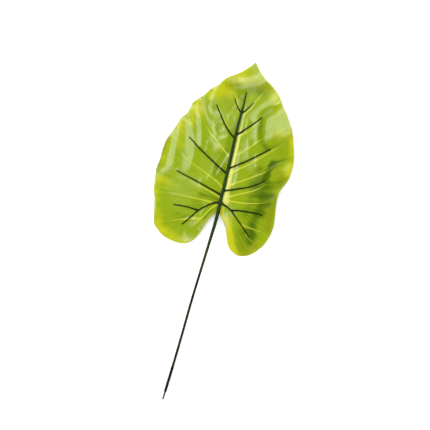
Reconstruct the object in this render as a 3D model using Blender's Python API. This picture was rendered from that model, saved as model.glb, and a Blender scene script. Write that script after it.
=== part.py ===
"""A made philodendron leaf lying on a table, its moulded ribs upwards.

A thin pressed blade with raised veins and waved edges carries one moulded rib frame. The
frame ends in a long socket, and a plastic-coated wire stem is held in it.

Frame: metres, +Z up, +Y from the cut end of the stem to the tip of the blade. The origin is
on the table, under the middle of the part. Plan points and heights below are millimetres,
measured from the hub where the ribs meet, and HUB_AT says where that hub stands.
"""

import bmesh
import bpy
import numpy as np
from mathutils import Matrix, Vector
from mathutils.bvhtree import BVHTree
from mathutils.geometry import delaunay_2d_cdt

MM = 0.001
HUB_AT = (9.2, 62.2)

# Clear space between the pieces, and under the ribs, which bridge the blade's hollows
GAP = 0.3
RIB_CLEARANCE = 0.42

# Blade outline, from the tip down each side to the top of the notch where the stem comes in
RIGHT_MARGIN = [
    (-3.5, 288), (8.7, 273.7), (24.4, 259.5), (36.5, 252.3), (48, 244), (57.8, 234.8),
    (65.7, 223), (72.8, 212.5), (83.2, 200.4), (96.3, 180.4), (100.6, 174.2), (111.8, 145.6),
    (120.6, 115), (121, 86), (117.4, 70), (112.6, 60.5), (108.2, 45), (108.6, 25), (114, -6),
    (115.1, -23), (112.3, -42), (104.1, -64), (85.8, -85.8), (66, -94.4), (50, -91.2),
    (38.5, -81.3), (33.4, -72), (28.6, -60), (22.2, -45.5), (11.8, -31.4), (1, -19)]
LEFT_MARGIN = [
    (-3.5, 288), (-14, 275), (-28.9, 260), (-43.2, 249.2), (-51.8, 241.8), (-57, 234.6),
    (-61.4, 228), (-65.3, 223.2), (-75.5, 213.6), (-82.1, 204), (-88.8, 193.8), (-94, 189),
    (-100.7, 181.6), (-104.9, 175.3), (-105.6, 168.5), (-109.8, 153.6), (-119, 141),
    (-124.3, 123), (-134.4, 97), (-137.6, 80), (-138.4, 66), (-138.1, 53), (-140.2, 36),
    (-140, 26), (-137, 5), (-135.4, -9), (-132.8, -17), (-128.9, -25.2), (-126.2, -38),
    (-123.8, -47.5), (-121.3, -58), (-119.1, -68.6), (-116, -76.6), (-108.6, -83.9),
    (-92, -95), (-68, -100.2), (-46.6, -98.2), (-32.7, -87.3), (-23.6, -70.2), (-17.2, -50.2),
    (-10.9, -34), (1, -19)]

# Blade body: a low dome that falls towards its sides and ends
BLADE_THICKNESS = 0.8
CREST_HEIGHT = 17.0
CREST_Y = 90.0
SIDE_DROP = 9.0
HALF_WIDTH = 130.0
END_DROP = 13.0
HALF_LENGTH = 197.0
LOWEST_MIDDLE = 0.9
FLOOR_SOFTNESS = 2.0

# Folds pressed or bent into the blade: line in plan, rise at its middle, reach to each side
FOLDS = [
    ([(-119, 130), (-115.5, 106), (-113.5, 78), (-112.5, 58), (-112, 46), (-122, 30)], 1.8, 9),
    ([(-143, 92), (-144, 60), (-141, 20), (-134, -20)], 4, 14),
    ([(-100, 147), (-91, 126), (-81, 103), (-75, 76), (-76, 52)], 1.9, 9),
    ([(-96, 179), (-89, 168), (-82, 153), (-76, 138), (-71, 123), (-65, 100)], 2.6, 7),
    ([(-84, 188), (-76, 172), (-66, 158), (-54, 150)], 1.6, 6.5),
    ([(-64, 218), (-65, 194)], 1.8, 9),
    ([(80, 237), (71, 231), (55, 215), (41, 203), (32, 191), (29, 178)], 3.6, 10),
    ([(35, 172), (38, 150), (41, 136), (43, 128)], 2.2, 6.5),
    ([(44, 184), (45, 166), (51, 152)], -3.4, 9),
    ([(54, 206), (51, 185), (53, 165), (55, 159)], -1.3, 16),
    ([(104, 224), (115, 200), (119, 184)], 18, 40),
    ([(104, 116), (84, 104), (74, 86), (71, 62)], 1.3, 14),
    ([(68, 60), (70, 20), (72, -30)], 1.8, 16),
    ([(38, -24), (46, -50), (58, -80)], 4, 15),
    ([(-55, -56), (-48, -74)], 2, 10),
    ([(-122, 25), (-120, -15)], 0.8, 20),
    ([(-58, 236), (-46, 238)], 2.6, 10),
    ([(-6, 226), (-5, 169), (-3, 97), (-1, 24), (1, -19)], -1.6, 14)]

# Swells and hollows, most of them waves of the margin: place, rise, reach
SWELLS = [
    ((106, 96), 3.5, 15), ((-58, 233), 4.5, 13), ((-81, 212), 2.5, 10), ((-92, 191), 4, 13),
    ((-108, 158), 4, 13), ((-124, -48), 5, 24), ((-16, -66), 2, 14), ((-2, 236), -1.6, 20),
    ((114, -42), 5, 24), ((111, 34), 6, 20)]

# Three small flats that the leaf lies on, under the tip and under each lobe: place of each,
# and how far out the blade has risen from it to its own height
REST_SPOTS = [((-4, 273), 40), ((-68, -86), 48), ((64, -80), 48)]
SPOT_RADIUS = 9.0
SPOT_RING = 0.9 * SPOT_RADIUS

# Raised veins, in plan: their relief falls to nothing at VEIN_REACH to each side
VEINS = [
    [(7, 2), (7.5, 20), (6.5, 50), (5, 98), (3.5, 137), (2.5, 170), (1, 205)],
    [(4, 183), (12, 195), (17, 209), (23.6, 221), (30, 234)],
    [(6, 139.5), (16, 148), (24, 158.5), (32, 170), (37, 179)],
    [(7, 99), (17, 107.4), (26, 117), (35, 127), (44, 138), (52, 147), (61, 155)],
    [(8, 62.5), (19.5, 72.7), (38.4, 89), (56, 107), (73.7, 125), (92, 143), (101, 151)],
    [(9, 35), (18, 42.8), (38.8, 56.5), (59, 71), (69, 78.5), (80, 90), (98, 108)],
    [(11.7, 14), (23.6, 19.6), (46.5, 32), (58, 38.2), (68, 46.2), (77, 54.5), (87, 63)],
    [(9, 5.5), (18, 6.1), (42.8, 9), (67, 14.5), (79, 18.4), (90.6, 23.3), (101, 29)],
    [(52, -33.2), (65, -35), (78.3, -35.8), (91.5, -37), (104, -40)],
    [(66, -50), (76, -57.5), (87, -64)],
    [(-11, 184), (-15.5, 197), (-23, 210), (-29, 222)],
    [(-22, 147), (-29, 154), (-38, 166), (-46.6, 177.5), (-55, 188.5)],
    [(-8, 93), (-16, 98.7), (-36, 113.5), (-55.5, 129), (-74, 145.5), (-84, 154)],
    [(-7, 30.8), (-15.2, 36.5), (-38.8, 46.8), (-74.5, 60.6), (-86, 66), (-104, 81)],
    [(-8, 9.5), (-31, 16), (-56, 22), (-81, 26.7), (-94, 28)],
    [(-16.5, -5.3), (-42.6, -5.5), (-68.6, -7), (-94.5, -9.7), (-107.5, -10.7)],
    [(-7, -7), (-11.8, -14), (-18.2, -23.5), (-24.1, -34.5), (-37.4, -56), (-43.8, -67)],
    [(-29, -42), (-43, -45.8), (-56.5, -50.5), (-70.3, -55.2), (-95.8, -67.5)]]
VEIN_RELIEF = 0.6
VEIN_REACH = 2.8

# Spacing of the blade's points and of their rows, and how near the points may come to its
# drawn lines
PLAN_STEP = 9.0
ROW_STEP = 0.866 * PLAN_STEP
CLEAR_OF_LINES = 5.0
SLOPE_REACH = 1.0

# Moulded rib frame: each rib's line in plan, its radius at the root and at its end
MIDRIB = [
    (-0.3, -4), (-0.6, 24), (-1.4, 48), (-2.4, 73), (-3.1, 97), (-4.3, 121), (-5.2, 145),
    (-5.4, 169), (-5.1, 196), (-5.5, 211), (-6.2, 226)]
MIDRIB_RADII = [3.0, 3.0, 2.9, 2.9, 2.9, 2.8, 2.5, 2.2, 1.7, 1.4, 1.0]
SIDE_RIBS = [
    [(0, -1.4), (12.8, -5.3), (24.6, -11.2), (35, -19.8), (55.6, -37), (75.5, -54.5)],
    [(24.6, -11.2), (38, -7.7), (50.7, -6.1), (63.7, -4.8), (76.6, -3.4), (89, -4.4)],
    [(-0.5, 22.5), (11.3, 27), (23, 32), (46, 42.6), (56.5, 49.2), (67, 56.5), (75.5, 65)],
    [(-2.4, 67.5), (8.7, 75.7), (30, 92.2), (50, 109.6), (60, 118.7), (70, 127.7)],
    [(-4.6, 136.5), (4.7, 145.3), (13, 155), (21.8, 164.3), (29.6, 174.2), (37.6, 184)],
    [(-5, 181.5), (0.5, 189), (6.5, 199), (13.7, 208.5)],
    [(-5, 181.5), (-13.6, 189), (-20, 198), (-25.5, 207)],
    [(-4.6, 129.5), (-15.7, 136.6), (-25.4, 145.2), (-34.2, 154.8), (-42, 165.2),
     (-57.6, 186)],
    [(-2.2, 57.8), (-26, 69.2), (-49.3, 81.9), (-72.3, 95.2), (-83.2, 102.6),
     (-94.4, 109.4)],
    [(-0.5, 13.5), (-13.1, 16.7), (-38.2, 23.2), (-63.4, 29.4), (-89, 35), (-101.4, 38.3)],
    [(0, -1.4), (-11.5, -5), (-22.4, -13), (-32, -21.4), (-41, -31.4), (-55.6, -53.4),
     (-63.7, -63.8)],
    [(-38, -27.6), (-51, -26.9), (-64, -26.7), (-77, -27.8), (-90, -28.9)]]
SIDE_RIB_RADII = (1.65, 1.05)
SMALL_RIBS = (5, 6)
SMALL_RIB_SHARE = 0.75
RIB_STEP = 8.0
RIB_TOUCH = 0.8
HUB_RADII = (5.4, 5.0, 3.6)
HUB_CENTRE = (-0.2, -1.5)

# Stem: its line in plan from the hub to the bare wire's end, and its height at both
STEM_LINE = [
    (0.3, 0), (1, -36), (-0.2, -80), (-2.1, -133), (-4.5, -206), (-5.5, -278), (-6.8, -339),
    (-8.3, -387), (-9.1, -411.5)]
STEM_END_HEIGHT = 2.0
STEM_STEP = 16.0
STATION_APART = 2.0
BORE_RADIUS = 1.8
WIRE_RADIUS = BORE_RADIUS - GAP

# Each piece of the stem: distance along the line from the hub, and radius there
SOCKET_PROFILE = [
    (0, 3.3), (18, 3.6), (30, 3.65), (50, 3.4), (70, 3.1), (90, 2.85), (110, 2.75),
    (143, 2.7), (146, 2.6)]
BORE_PROFILE = [(10, BORE_RADIUS), (430, BORE_RADIUS)]
COAT_PROFILE = [(146 + GAP, 2.5), (220, 2.5), (341.4, 2.45)]
FOOT_PROFILE = [
    (341.4 + GAP, 2.6), (344, 2.85), (348, 2.8), (351, 2.65), (389, 2.6), (395.5, 2.4)]
WIRE_PROFILE = [(10 + GAP, WIRE_RADIUS), (410.5, WIRE_RADIUS), (411.5, 0.8)]


def clear_scene():
    """Remove every object that the file opens with."""
    for item in list(bpy.data.objects):
        bpy.data.objects.remove(item, do_unlink=True)


def material(name, colour, roughness, metallic=0.0):
    """A Principled material of one colour, given as red, green and blue out of 255."""
    finish = bpy.data.materials.new(name)
    finish.use_nodes = True
    shader = finish.node_tree.nodes["Principled BSDF"]
    linear = [(channel / 255) ** 2.2 for channel in colour]
    shader.inputs["Base Color"].default_value = (*linear, 1.0)
    shader.inputs["Roughness"].default_value = roughness
    shader.inputs["Metallic"].default_value = metallic
    finish.diffuse_color = (*linear, 1.0)
    return finish


def new_object(name, data, finish):
    """Link an object that holds the given mesh or curve."""
    item = bpy.data.objects.new(name, data)
    data.materials.append(finish)
    bpy.context.scene.collection.objects.link(item)
    return item


def smooth_path(points, step):
    """Points about every step along a Catmull-Rom curve through the given ones."""
    knots = np.asarray(points, dtype=float)
    padded = np.vstack([2 * knots[0] - knots[1], knots, 2 * knots[-1] - knots[-2]])
    pieces = []
    for before, start, end, after in zip(padded, padded[1:], padded[2:], padded[3:]):
        count = max(1, round(float(np.linalg.norm(end - start)) / step))
        t = np.linspace(0, 1, count, endpoint=False)[:, None]
        square = 2 * before - 5 * start + 4 * end - after
        cube = 3 * start - before - 3 * end + after
        pieces.append(start + 0.5 * ((end - before) * t + square * t**2 + cube * t**3))
    pieces.append(knots[-1:])
    return np.vstack(pieces)


def along(path):
    """Distance run along a path at each of its points."""
    steps = np.linalg.norm(np.diff(path, axis=0), axis=1)
    return np.concatenate([[0.0], np.cumsum(steps)])


def sideways(path):
    """Unit vectors in plan, square to the path at each of its points."""
    run = np.gradient(path, axis=0)
    run /= np.linalg.norm(run, axis=1)[:, None]
    return np.column_stack([-run[:, 1], run[:, 0]])


def distance_to(path, plan):
    """Distance in plan from each point to the nearest point of a path."""
    run = np.diff(path, axis=0)
    offset = plan[:, None] - path[:-1]
    share = np.clip((offset * run).sum(axis=-1) / (run * run).sum(axis=-1), 0, 1)
    return np.linalg.norm(offset - share[..., None] * run, axis=-1).min(axis=1)


def blade_middle(plan):
    """Height of the blade's middle surface over each point of the plan."""
    x, y = plan.T
    height = CREST_HEIGHT - SIDE_DROP * (x / HALF_WIDTH) ** 2
    height -= END_DROP * ((y - CREST_Y) / HALF_LENGTH) ** 2
    for line, rise, reach in FOLDS:
        away = distance_to(smooth_path(line, PLAN_STEP), plan)
        height += rise * np.exp(-((away / reach) ** 2))
    for place, rise, reach in SWELLS:
        away = np.linalg.norm(plan - place, axis=1)
        height += rise * np.exp(-((away / reach) ** 2))
    above = height - LOWEST_MIDDLE
    height = LOWEST_MIDDLE + 0.5 * (above + np.hypot(above, FLOOR_SOFTNESS))
    for spot, blend in REST_SPOTS:
        away = np.linalg.norm(plan - spot, axis=1)
        share = np.clip((blend - away) / (blend - SPOT_RADIUS), 0, 1)
        share = share * share * (3 - 2 * share)
        height += share * (BLADE_THICKNESS / 2 - height)
    vein = np.min([distance_to(smooth_path(line, PLAN_STEP), plan) for line in VEINS], axis=0)
    return height + VEIN_RELIEF * np.clip(1 - vein / VEIN_REACH, 0, 1)


def blade_half_thickness(plan):
    """Half the blade's upright thickness, more where it slopes, so that it stays as thick."""
    right, left = [blade_middle(plan + (step, 0)) for step in (SLOPE_REACH, -SLOPE_REACH)]
    above, below = [blade_middle(plan + (0, step)) for step in (SLOPE_REACH, -SLOPE_REACH)]
    slope = np.hypot(right - left, above - below) / (2 * SLOPE_REACH)
    return BLADE_THICKNESS / 2 * np.sqrt(1 + slope**2)


def blade_plan():
    """The blade's plan as points and triangles: margin, veins, rest spots and a lattice."""
    right = smooth_path(RIGHT_MARGIN, PLAN_STEP)
    left = smooth_path(LEFT_MARGIN, PLAN_STEP)
    margin = np.vstack([left[:-1], right[:0:-1]])
    drawn = [margin]
    vein_edges = []
    count = len(margin)
    for line in VEINS:
        middle = smooth_path(line, PLAN_STEP)
        vein_edges += [(count + step, count + step + 1) for step in range(len(middle) - 1)]
        shift = VEIN_REACH * sideways(middle)
        drawn += [middle, middle + shift, middle - shift]
        count += 3 * len(middle)
    turns = np.radians(np.arange(0, 360, 60))
    ring = np.column_stack([np.cos(turns), np.sin(turns)]) * SPOT_RING
    for spot, _ in REST_SPOTS:
        drawn += [np.array([spot]), np.array(spot) + ring]
    drawn = np.vstack(drawn)
    low, high = margin.min(axis=0), margin.max(axis=0)
    lattice = []
    for row, y in enumerate(np.arange(low[1], high[1], ROW_STEP)):
        start = low[0] + PLAN_STEP / 2 * (row % 2)
        lattice += [(x, y) for x in np.arange(start, high[0], PLAN_STEP)]
    lattice = np.array(lattice)
    apart = np.linalg.norm(lattice[:, None] - drawn, axis=-1).min(axis=1)
    points = np.vstack([drawn, lattice[apart > CLEAR_OF_LINES]])
    outline = list(range(len(margin)))
    corners, _, triangles, *_ = delaunay_2d_cdt(
        [Vector(point) for point in points], vein_edges, [outline], 1, 1e-4)
    return np.array([tuple(corner) for corner in corners]), triangles


def make_blade(finish):
    """The pressed sheet: the same triangles on both faces, closed by a wall at the margin."""
    plan, triangles = blade_plan()
    middle = blade_middle(plan)
    half = blade_half_thickness(plan)
    place = (plan + HUB_AT) * MM
    form = bmesh.new()
    top = [form.verts.new((*spot, z)) for spot, z in zip(place, (middle + half) * MM)]
    low = np.maximum(middle - half, 0) * MM
    under = [form.verts.new((*spot, z)) for spot, z in zip(place, low)]
    for corners in triangles:
        form.faces.new([top[corner] for corner in corners])
    rim = [loop for face in form.faces for loop in face.loops if loop.edge.is_boundary]
    position = {vertex: number for number, vertex in enumerate(top)}
    rim = [(position[loop.vert], position[loop.link_loop_next.vert]) for loop in rim]
    for corners in triangles:
        form.faces.new([under[corner] for corner in reversed(corners)])
    for start, end in rim:
        form.faces.new([top[start], under[start], under[end]])
        form.faces.new([top[start], under[end], top[end]])
    loose = [vertex for vertex in form.verts if not vertex.link_faces]
    bmesh.ops.delete(form, geom=loose, context="VERTS")
    bmesh.ops.recalc_face_normals(form, faces=form.faces)
    mesh = bpy.data.meshes.new("blade")
    form.to_mesh(mesh)
    form.free()
    return new_object("blade", mesh, finish)


def blade_top(blade):
    """A function that gives the height of the blade's upper face, in millimetres."""
    corners = [vertex.co for vertex in blade.data.vertices]
    tree = BVHTree.FromPolygons(corners, [list(face.vertices) for face in blade.data.polygons])

    def height(x, y):
        start = Vector(((x + HUB_AT[0]) * MM, (y + HUB_AT[1]) * MM, 1.0))
        hit = tree.ray_cast(start, Vector((0, 0, -1)))[0]
        return hit.z / MM if hit else 0.0

    return height


def bar(name, path, radii, resolution, finish):
    """A round bar along a path in millimetres, as a curve with a radius at each point."""
    curve = bpy.data.curves.new(name, "CURVE")
    curve.dimensions = "3D"
    curve.twist_mode = "Z_UP"
    curve.bevel_depth = MM
    curve.bevel_resolution = resolution
    curve.use_fill_caps = True
    spline = curve.splines.new("POLY")
    spline.points.add(len(path) - 1)
    for point, spot, radius in zip(spline.points, path, radii):
        point.co = ((spot[0] + HUB_AT[0]) * MM, (spot[1] + HUB_AT[1]) * MM, spot[2] * MM, 1)
        point.radius = radius
    return new_object(name, curve, finish)


def as_mesh(item):
    """Replace an object by its evaluated mesh under the same name."""
    bpy.context.view_layer.update()
    name = item.name
    mesh = bpy.data.meshes.new_from_object(item.evaluated_get(
        bpy.context.evaluated_depsgraph_get()))
    bpy.data.objects.remove(item, do_unlink=True)
    mesh.name = name
    solid = bpy.data.objects.new(name, mesh)
    bpy.context.scene.collection.objects.link(solid)
    return solid


def laid_rib(name, line, radii, height, finish):
    """A rib just clear of the highest blade under it, from edge to edge and a little ahead."""
    path = smooth_path(line, RIB_STEP)
    run = along(path)
    radius = np.interp(run, along(np.asarray(line, dtype=float)), radii)
    side = sideways(path)
    lifted = []
    for spot, across, reach in zip(path, side, radius):
        ahead = np.array([across[1], -across[0]]) * RIB_STEP / 2
        near = [spot, spot + ahead, spot - ahead]
        edges = (-RIB_TOUCH * reach, RIB_TOUCH * reach)
        near += [place + across * shift for place in list(near) for shift in edges]
        lifted.append(max(height(*place) for place in near) + RIB_CLEARANCE + reach)
    return bar(name, np.column_stack([path, lifted]), radius, 2, finish)


def stem_path(hub_height):
    """The stem's middle line from the hub down to the table, every STEM_STEP or so."""
    plan = smooth_path(STEM_LINE, STEM_STEP)
    run = along(plan)
    height = np.interp(run, [0, run[-1]], [hub_height, STEM_END_HEIGHT])
    return np.column_stack([plan, height])


def turned_bar(name, path, profile, resolution, finish):
    """A bar along part of the stem line, with a radius that follows a profile."""
    run = along(path)
    ends, sizes = np.array(profile, dtype=float).T
    inner = run[(run > ends[0]) & (run < ends[-1])]
    apart = np.abs(inner[:, None] - ends).min(axis=1)
    stations = np.sort(np.concatenate([ends, inner[apart > STATION_APART]]))
    line = np.column_stack([np.interp(stations, run, path[:, axis]) for axis in range(3)])
    beyond = np.maximum(stations - run[-1], 0)[:, None]
    direction = path[-1] - path[-2]
    line += beyond * direction / np.linalg.norm(direction)
    return bar(name, line, np.interp(stations, ends, sizes), resolution, finish)


def bore(item, cutter):
    """Cut the stem's bore out of a solid."""
    cut = item.modifiers.new("bore", "BOOLEAN")
    cut.operation = "DIFFERENCE"
    cut.solver = "EXACT"
    cut.object = cutter


def make_hub(height, finish):
    """The flattened knot where the ribs meet."""
    centre = Vector((HUB_CENTRE[0] + HUB_AT[0], HUB_CENTRE[1] + HUB_AT[1], height)) * MM
    form = bmesh.new()
    place = Matrix.LocRotScale(centre, None, Vector(HUB_RADII) * MM)
    bmesh.ops.create_uvsphere(form, u_segments=16, v_segments=8, radius=1.0, matrix=place)
    mesh = bpy.data.meshes.new("hub")
    form.to_mesh(mesh)
    form.free()
    return new_object("hub", mesh, finish)


def make_rib_frame(height, path, finish):
    """Midrib, side ribs, hub and socket, joined into one moulded piece."""
    pieces = []
    for number, line in enumerate(SIDE_RIBS):
        radii = np.linspace(*SIDE_RIB_RADII, len(line))
        if number in SMALL_RIBS:
            radii *= SMALL_RIB_SHARE
        pieces.append(laid_rib(f"rib_{number}", line, radii, height, finish))
    pieces.append(turned_bar("socket", path, SOCKET_PROFILE, 4, finish))
    pieces.append(make_hub(path[0, 2], finish))
    joined = bpy.data.collections.new("rib_pieces")
    bpy.context.scene.collection.children.link(joined)
    for piece in pieces:
        solid = as_mesh(piece)
        joined.objects.link(solid)
    frame = as_mesh(laid_rib("rib_frame", MIDRIB, MIDRIB_RADII, height, finish))
    union = frame.modifiers.new("union", "BOOLEAN")
    union.operation = "UNION"
    union.solver = "EXACT"
    union.operand_type = "COLLECTION"
    union.collection = joined
    frame = as_mesh(frame)
    for solid in list(joined.objects):
        bpy.data.objects.remove(solid, do_unlink=True)
    bpy.data.collections.remove(joined)
    return frame


def main():
    """Build the leaf."""
    clear_scene()
    lime = material("pressed_lime_blade", (150, 176, 28), 0.32)
    moss = material("moulded_dark_green", (40, 62, 30), 0.42)
    coat_green = material("coat_green", (44, 64, 40), 0.5)
    foot_green = material("foot_near_black", (26, 34, 28), 0.55)
    steel = material("bare_wire", (120, 112, 98), 0.45, 0.9)
    blade = make_blade(lime)
    height = blade_top(blade)
    hub_height = height(*HUB_CENTRE) + GAP + HUB_RADII[2]
    path = stem_path(hub_height)
    frame = make_rib_frame(height, path, moss)
    cutter = turned_bar("bore_cutter", path, BORE_PROFILE, 4, steel)
    cutter = as_mesh(cutter)
    cutter.hide_render = True
    cutter.display_type = "WIRE"
    coat = as_mesh(turned_bar("stem_coat", path, COAT_PROFILE, 4, coat_green))
    foot = as_mesh(turned_bar("stem_foot", path, FOOT_PROFILE, 4, foot_green))
    for sleeve in (frame, coat, foot):
        bore(sleeve, cutter)
    turned_bar("stem_wire", path, WIRE_PROFILE, 3, steel)


main()
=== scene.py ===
import enum
import logging
from dataclasses import dataclass, replace
from typing import Any, Optional, Sequence, Union

import bpy
import numpy as np
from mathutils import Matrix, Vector


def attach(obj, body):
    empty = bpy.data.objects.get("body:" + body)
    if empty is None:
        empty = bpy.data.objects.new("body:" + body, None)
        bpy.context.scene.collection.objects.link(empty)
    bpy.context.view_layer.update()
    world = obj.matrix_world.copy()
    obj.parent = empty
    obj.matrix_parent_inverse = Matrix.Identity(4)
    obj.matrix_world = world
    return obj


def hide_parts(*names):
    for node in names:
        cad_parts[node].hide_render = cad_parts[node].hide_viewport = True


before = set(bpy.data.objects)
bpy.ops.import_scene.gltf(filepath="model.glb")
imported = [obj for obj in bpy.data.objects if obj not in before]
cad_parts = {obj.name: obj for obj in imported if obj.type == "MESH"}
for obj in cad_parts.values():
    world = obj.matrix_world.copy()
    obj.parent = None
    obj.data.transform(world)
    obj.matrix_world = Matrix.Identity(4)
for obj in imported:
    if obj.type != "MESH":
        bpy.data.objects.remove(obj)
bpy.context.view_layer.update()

# A made philodendron leaf: pressed lime blade, moulded rib frame and coated wire stem.
# Plan points, heights and reaches are millimetres from the hub where the ribs meet; HUB_AT
# says where that hub stands in the row frame, whose unit is the metre. A mark has faded out
# FADED_OUT reaches from its line. A vein's print is followed out to VEIN_FAR half widths,
# and is gone at VEIN_FADED of its length. A rounded end keeps LEAST_END of its square.

LOG = logging.getLogger("leaf")
MM = 0.001
FADED_OUT = 3
VEIN_FAR = 3.0
VEIN_FADED = 1.02
LINE_STEP = 4.0
LEAST_END = 0.02
LIGHT_AIM = (0.0, 0.10, 0.0)
HUB_AT = (9.2, 62.2)
Points = Sequence[tuple[float, float]]
Colour = tuple[float, float, float]
Number = Union[float, "Value"]


class Side(enum.Enum):
    """Which half of the blade a grid covers."""

    LEFT = "left"
    RIGHT = "right"


@dataclass(frozen=True)
class Stroke:
    """A soft mark along a line: full along it, and gone a few reaches away from it."""

    line: Points
    rise: float
    reach: float

    def over(self, plan: np.ndarray) -> np.ndarray:
        """Give rise times exp(-(distance / reach) squared) at each point of a plan."""
        away, _ = nearest_on(self.line, plan, FADED_OUT * self.reach)
        return self.rise * np.exp(-((away / self.reach) ** 2))


@dataclass(frozen=True)
class Vein:
    """A printed, slightly raised vein of the blade."""

    line: Points
    strength: float = 1.0
    half_widths: Sequence[float] = (2.2, 1.5, 1.3, 1.1, 0.9)
    fades_from: float = 0.55

    def print_over(self, plan: np.ndarray) -> tuple[np.ndarray, np.ndarray]:
        """Work out how the vein is printed over each point.

        Args:
            plan: Points in plan, one row each.

        Returns:
            The distance to the vein's line in half widths, and the print's strength, which
            fades towards the vein's end.
        """
        away, share = nearest_on(self.line, plan, 2 * VEIN_FAR * max(self.half_widths))
        stations = np.linspace(0, 1, len(self.half_widths))
        width = np.interp(share, stations, self.half_widths)
        fade = 1 - soft_step(self.fades_from, VEIN_FADED, share)
        return np.minimum(away / width, VEIN_FAR), self.strength * fade


def strokes(*rows: Sequence[float]) -> tuple[Stroke, ...]:
    """Read marks from rows of rise, reach, and x and y of each point of the line."""
    return tuple(Stroke(tuple(zip(row[2::2], row[3::2])), row[0], row[1]) for row in rows)


def ring(x: float, y: float, radius: float) -> Points:
    """Give points round a circle, the last on the first."""
    turns = np.linspace(0, 2 * np.pi, 13)
    return tuple((x + radius * float(np.cos(t)), y + radius * float(np.sin(t))) for t in turns)


RIGHT_MARGIN: Points = (
    (-3.5, 288), (8.7, 273.7), (24.4, 259.5), (36.5, 252.3), (48, 244), (57.8, 234.8),
    (65.7, 223), (72.8, 212.5), (83.2, 200.4), (96.3, 180.4), (100.6, 174.2), (111.8, 145.6),
    (120.6, 115), (121, 86), (117.4, 70), (112.6, 60.5), (108.2, 45), (108.6, 25), (114, -6),
    (115.1, -23), (112.3, -42), (104.1, -64), (85.8, -85.8), (66, -94.4), (50, -91.2),
    (38.5, -81.3), (33.4, -72), (28.6, -60), (22.2, -45.5), (11.8, -31.4), (1, -19))
LEFT_MARGIN: Points = (
    (-3.5, 288), (-14, 275), (-28.9, 260), (-43.2, 249.2), (-51.8, 241.8), (-57, 234.6),
    (-61.4, 228), (-65.3, 223.2), (-75.5, 213.6), (-82.1, 204), (-88.8, 193.8), (-94, 189),
    (-100.7, 181.6), (-104.9, 175.3), (-105.6, 168.5), (-109.8, 153.6), (-119, 141),
    (-124.3, 123), (-134.4, 97), (-137.6, 80), (-138.4, 66), (-138.1, 53), (-140.2, 36),
    (-140, 26), (-137, 5), (-135.4, -9), (-132.8, -17), (-128.9, -25.2), (-126.2, -38),
    (-123.8, -47.5), (-121.3, -58), (-119.1, -68.6), (-116, -76.6), (-108.6, -83.9),
    (-92, -95), (-68, -100.2), (-46.6, -98.2), (-32.7, -87.3), (-23.6, -70.2),
    (-17.2, -50.2), (-10.9, -34), (1, -19))
MIDLINE: Points = (
    (-3.5, 288), (-6.2, 226), (-5.4, 169), (-3.1, 97), (-1.4, 48), (0.3, 0), (1, -19))

# Broad folds and waves of the pressed sheet, and the swells along its margin
FOLDS = strokes(
    (1.8, 9, -119, 130, -115.5, 106, -113.5, 78, -112.5, 58, -112, 46, -122, 30),
    (4, 14, -143, 92, -144, 60, -141, 20, -134, -20),
    (1.8, 9, -100, 147, -91, 126, -81, 103, -75, 76, -76, 52),
    (2.6, 7, -96, 179, -89, 168, -82, 153, -76, 138, -71, 123, -65, 100),
    (1.6, 6.5, -84, 188, -76, 172, -66, 158, -54, 150), (1.8, 9, -64, 218, -65, 194),
    (3.6, 10, 80, 237, 71, 231, 55, 215, 41, 203, 32, 191, 29, 178),
    (2.2, 6.5, 35, 172, 38, 150, 41, 136, 43, 128), (-3.4, 9, 44, 184, 45, 166, 51, 152),
    (-1.3, 16, 54, 206, 51, 185, 53, 165, 55, 159), (18, 40, 104, 224, 115, 200, 119, 184),
    (1.3, 14, 104, 116, 84, 104, 74, 86, 71, 62), (1.8, 16, 68, 60, 70, 20, 72, -30),
    (3.5, 15, 106, 96), (4, 15, 38, -24, 46, -50, 58, -80), (2, 10, -55, -56, -48, -74),
    (0.8, 20, -122, 25, -120, -15), (2.6, 10, -58, 236, -46, 238),
    (-1.6, 14, -6, 226, -5, 169, -3, 97, -1, 24, 1, -19))
SWELLS = strokes(
    (4.5, 13, -58, 233), (2.5, 10, -81, 212), (4, 13, -92, 191), (4, 13, -108, 158),
    (5, 24, -124, -48), (2, 14, -16, -66), (-1.6, 20, -2, 236), (5, 24, 114, -42),
    (6, 20, 111, 34))

# Creases and small puckers, where the print catches the light in thin lines
CRINKLES = (Stroke(ring(-38, 142, 10), 1.3, 4.6), *strokes(
    (0.9, 4.5, -12, 179, -21, 177, -26, 168, -23, 158),
    (2.2, 5.5, -66, 179, -60, 169, -48, 164.5), (1.2, 4.8, -19, 187, -15, 199, -11, 211),
    (1.4, 3.6, -7, 94, -13, 74, -19, 52), (0.5, 3.8, -17, 104, -26, 82, -32, 62),
    (0.6, 3.8, -14, 122, -18, 104), (0.6, 3.4, -12, 66, -17, 46, -19, 30),
    (0.6, 3.8, -28, 60, -36, 36), (1.5, 4.2, -54, 108, -53, 94),
    (1, 3.8, 14, 104, 17, 80, 20, 58, 19, 38), (1.1, 4.6, 24, 134, 28, 116, 33, 98),
    (0.6, 3.8, 12, 170, 14, 152), (1.9, 6, 48, 106, 53, 88), (0.8, 5, -47, 32, -45, 20),
    (0.9, 3.8, -11, 172, -13, 150), (1.5, 10, -29, 115, -28, 102),
    (2.2, 6, -42, 122, -36, 119, -28, 121, -21, 126), (1, 5.5, -38, -46, -46, -80),
    (0.8, 4.4, -24, -14, -29, -34), (0.7, 5.5, -58, -60, -62, -84), (1, 4.6, 21, -24, 30, -52),
    (-1.1, 4.8, 110, 115, 92, 107, 80, 98, 76, 85, 77, 70),
    (-1.2, 4.2, 75, 62, 90, 68, 107, 74), (-1, 4, -128, 38, -104, 41)))

# Where the blade rests: a line, and how far the flat and the blend reach from it
REST_SPOTS = (
    (((-4, 273), (-24, 261)), 6, 37), (((-68, -86),), 9, 48), (((64, -80),), 9, 48))

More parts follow.
